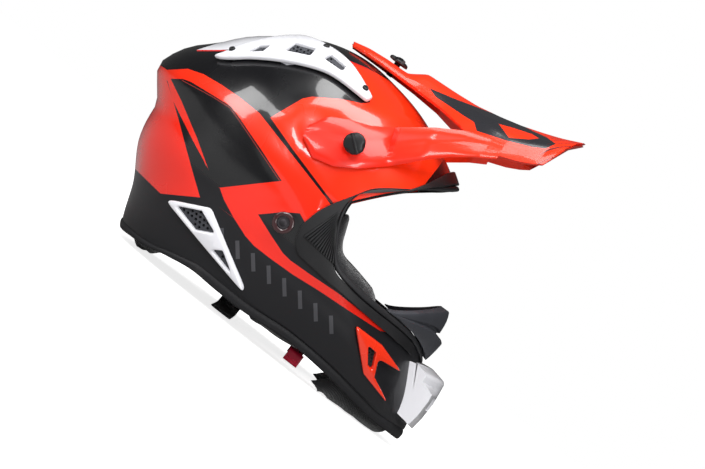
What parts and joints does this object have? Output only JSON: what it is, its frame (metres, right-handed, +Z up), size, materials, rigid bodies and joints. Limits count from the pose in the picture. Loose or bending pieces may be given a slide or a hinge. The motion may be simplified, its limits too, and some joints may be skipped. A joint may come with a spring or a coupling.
{
  "type": "motocross helmet",
  "caption": "Full-face motocross helmet with an adjustable peak, open eye port, ventilated chin bar, padded liner and a strap with buckle rings.",
  "frame": {"origin": "on the table under the middle of the bounding box", "axes": "+Z up, -Y towards the face opening and the tip of the peak, +X towards the wearer's left"},
  "size_m": [0.2674, 0.3616, 0.303],
  "materials": {
    "gloss_orange": "gloss clear coat",
    "impact_foam": "matte moulded foam",
    "lining_fabric": "soft knit",
    "trim_rubber": "matte",
    "gasket_rubber": "satin",
    "matte_black": "matte moulded",
    "grey_plastic": "matte moulded",
    "gloss_white": "gloss",
    "chin_orange": "gloss",
    "mesh_black": "fine mesh",
    "webbing": "woven",
    "steel": "polished",
    "red_tab": "woven",
    "screw_black": "satin"
  },
  "bodies": {
    "helmet": {"outer_shell": "gloss_orange", "impact_liner": "impact_foam", "chin_foam": "impact_foam", "comfort_liner": "lining_fabric", "neck_roll": "lining_fabric", "chin_curtain": "lining_fabric", "base_trim": "trim_rubber", "eyeport_gasket": "gasket_rubber", "brow_bezel": "matte_black", "side_panel_left": "matte_black", "side_panel_right": "matte_black", "rib_pad_left": "matte_black", "rib_pad_right": "matte_black", "nose_guard": "grey_plastic", "mouth_vent": "gloss_white", "mouth_vent_mesh": "mesh_black", "chin_vent_left": "chin_orange", "chin_vent_right": "chin_orange", "chin_vent_mesh": "mesh_black", "crown_vent_left": "gloss_white", "crown_vent_right": "gloss_white", "crown_vent_mesh": "mesh_black", "crown_vent_screws": "screw_black", "rear_vent_left": "gloss_white", "rear_vent_right": "gloss_white", "rear_vent_mesh": "mesh_black", "anchor_rings": "steel", "strap_left": "webbing", "strap_right": "webbing"},
    "peak": {"peak": "gloss_orange"},
    "screw_left": {"side_screw_left": "screw_black"},
    "screw_right": {"side_screw_right": "screw_black"},
    "screw_centre": {"centre_screw": "screw_black"},
    "pad_left": {"cheek_pad_left": "lining_fabric", "release_tab_left": "red_tab", "pad_snaps_left": "steel"},
    "pad_right": {"cheek_pad_right": "lining_fabric", "release_tab_right": "red_tab", "pad_snaps_right": "steel"},
    "ring_a": {"ring_keeper": "steel"},
    "ring_b": {"ring_free": "steel"}
  },
  "joints": [
    {"name": "peak_tilt", "type": "hinge", "parent": "helmet", "child": "peak", "pos_m": [0, 0.006, 0.18], "axis": [1, 0, 0], "range_deg": [-2, 6]},
    {"name": "screw_left_turn", "type": "hinge", "parent": "helmet", "child": "screw_left", "pos_m": [0, 0.006, 0.18], "axis": [1, 0, 0], "range_deg": [0, 360]},
    {"name": "screw_right_turn", "type": "hinge", "parent": "helmet", "child": "screw_right", "pos_m": [0, 0.006, 0.18], "axis": [-1, 0, 0], "range_deg": [0, 360]},
    {"name": "screw_centre_turn", "type": "hinge", "parent": "helmet", "child": "screw_centre", "pos_m": [0, 0.021, 0.26], "axis": [0, 0, 1], "range_deg": [0, 360]},
    {"name": "pad_left_pull", "type": "slide", "parent": "helmet", "child": "pad_left", "axis": [-1, 0, 0], "range_m": [0, 0.022]},
    {"name": "pad_right_pull", "type": "slide", "parent": "helmet", "child": "pad_right", "axis": [1, 0, 0], "range_m": [0, 0.022]},
    {"name": "ring_a_swing", "type": "hinge", "parent": "helmet", "child": "ring_a", "pos_m": [-0.09565, 0.009, 0.0426], "axis": [0, 1, 0], "range_deg": [0, 10]},
    {"name": "ring_b_swing", "type": "hinge", "parent": "helmet", "child": "ring_b", "pos_m": [-0.09315, 0.009, 0.0426], "axis": [0, 1, 0], "range_deg": [-35, 0]}
  ]
}
